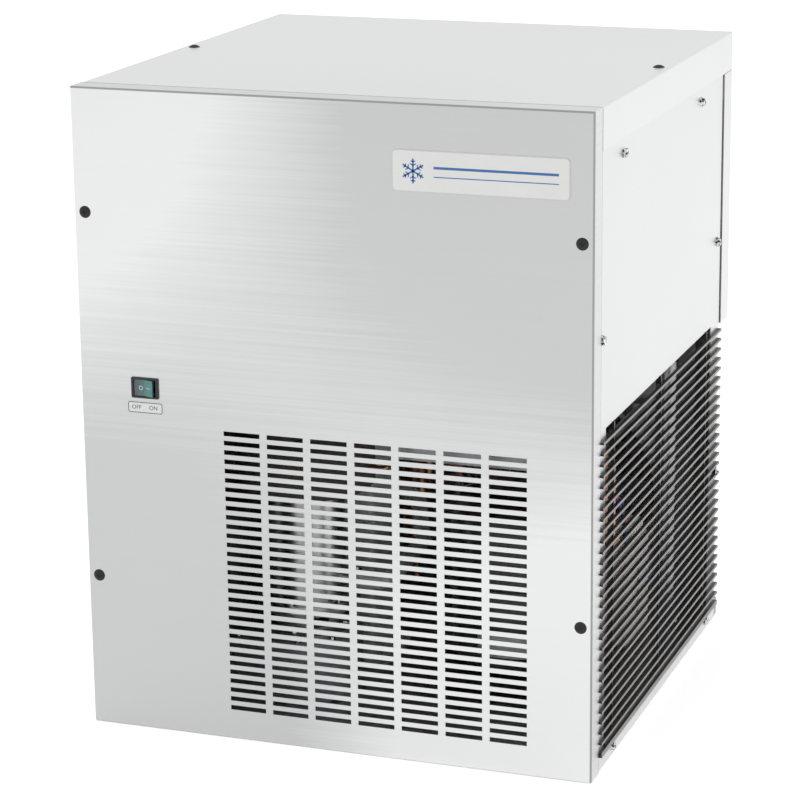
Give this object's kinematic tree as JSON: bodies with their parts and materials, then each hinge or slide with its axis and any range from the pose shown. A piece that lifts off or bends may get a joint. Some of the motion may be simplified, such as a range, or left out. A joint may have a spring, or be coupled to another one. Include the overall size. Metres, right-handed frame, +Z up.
{
  "type": "granular ice machine",
  "caption": "Air-cooled granular ice machine head: stainless cabinet with a slotted front, side louvre, auger ice maker and a chute through its base.",
  "frame": {"origin": "middle of the underside", "axes": "+Z is up, the front faces -Y, +X is to the right seen from the front"},
  "size_m": [0.566, 0.5734, 0.6976],
  "materials": {
    "stainless_panel": "satin",
    "galvanised_sheet": "dull",
    "black_louvre": "moulded",
    "black_screw": "satin",
    "zinc_screw": "plated",
    "badge": "smooth",
    "label": "smooth",
    "switch_black": "moulded",
    "switch_green": "tinted",
    "cast_gearbox": "cast",
    "gear_steel": "machined",
    "motor_paint": "satin",
    "stainless_turned": "turned",
    "seal_rubber": "moulded",
    "copper": "drawn tube",
    "foam": "foamed",
    "head_cast": "cast",
    "ice_plastic": "moulded",
    "compressor_black": "gloss",
    "terminal_grey": "moulded",
    "condenser_aluminium": "bare",
    "fan_grey": "bare",
    "valve_brass": "machined",
    "fitting_black": "moulded",
    "reset_red": "moulded",
    "hose": "smooth",
    "contactor_plastic": "moulded",
    "wire_jacket": "smooth"
  },
  "bodies": {
    "cabinet": {"front_panel": "stainless_panel", "top_cover": "stainless_panel", "side_panel_left": "stainless_panel", "side_panel_right": "stainless_panel", "rear_cover": "stainless_panel", "base_pan": "galvanised_sheet", "front_posts": "galvanised_sheet", "rear_posts": "galvanised_sheet", "top_frame": "galvanised_sheet", "rear_panel": "galvanised_sheet", "fan_shroud": "galvanised_sheet", "control_box": "galvanised_sheet", "box_cover": "galvanised_sheet", "side_louvre": "black_louvre", "black_screws": "black_screw", "hex_screws": "zinc_screw", "badge_plate": "badge", "switch_label": "label", "switch_body": "switch_black", "gearbox_housing": "cast_gearbox", "gearbox_lid": "cast_gearbox", "drive_adapter": "cast_gearbox", "shaft_bearings": "gear_steel", "drive_motor": "motor_paint", "fan_motor": "motor_paint", "barrel": "stainless_turned", "shaft_seal": "seal_rubber", "compressor_mounts": "seal_rubber", "evaporator_jacket": "copper", "discharge_line": "copper", "liquid_line": "copper", "suction_line": "copper", "filter_drier": "copper", "barrel_insulation": "foam", "ice_head": "head_cast", "ice_spout": "ice_plastic", "ice_chute": "ice_plastic", "float_tank": "ice_plastic", "tank_lid": "ice_plastic", "compressor": "compressor_black", "terminal_cover": "terminal_grey", "condenser": "condenser_aluminium", "expansion_valve": "valve_brass", "water_inlet": "valve_brass", "pressure_switch": "fitting_black", "drain_spigot": "fitting_black", "cable_gland": "fitting_black", "supply_hose": "hose", "feed_hose": "hose", "drain_hose": "hose", "contactor": "contactor_plastic", "wires": "wire_jacket"},
    "rocker": {"switch_rocker": "switch_green"},
    "fan": {"fan_blade": "fan_grey"},
    "auger_drive": {"output_gear": "gear_steel", "auger": "stainless_turned"},
    "middle": {"middle_gear": "gear_steel"},
    "rotor": {"motor_rotor": "gear_steel"},
    "float": {"float_lever": "ice_plastic"},
    "reset": {"reset_button": "reset_red"}
  },
  "joints": [
    {"name": "switch_rocks", "type": "hinge", "parent": "cabinet", "child": "rocker", "pos_m": [-0.2063, -0.2789, 0.3804], "axis": [0, 0, 1], "range_deg": [0, 18]},
    {"name": "fan_spin", "type": "hinge", "parent": "cabinet", "child": "fan", "pos_m": [0.11, 0.1477, 0.174], "axis": [0, 1, 0], "continuous": true},
    {"name": "auger_spin", "type": "hinge", "parent": "cabinet", "child": "auger_drive", "pos_m": [-0.095, -0.1143, 0.3], "axis": [0, 0, 1], "continuous": true},
    {"name": "middle_gear_spin", "type": "hinge", "parent": "cabinet", "child": "middle", "pos_m": [-0.15715, -0.1143, 0.04], "axis": [0, 0, 1], "continuous": true},
    {"name": "motor_spin", "type": "hinge", "parent": "cabinet", "child": "rotor", "pos_m": [-0.2158, -0.1143, 0.1], "axis": [0, 0, 1], "continuous": true},
    {"name": "float_swing", "type": "hinge", "parent": "cabinet", "child": "float", "pos_m": [-0.208, 0.1377, 0.414], "axis": [1, 0, 0], "range_deg": [0, 12]},
    {"name": "reset_press", "type": "slide", "parent": "cabinet", "child": "reset", "axis": [0, -1, 0], "range_m": [0, 0.002], "stiffness_N_per_m": 400, "springref_m": -0.001}
  ],
  "couplings": [
    {"joint": "middle_gear_spin", "follows": "auger_spin", "ratio": -4.1667},
    {"joint": "motor_spin", "follows": "auger_spin", "ratio": 22.917}
  ]
}
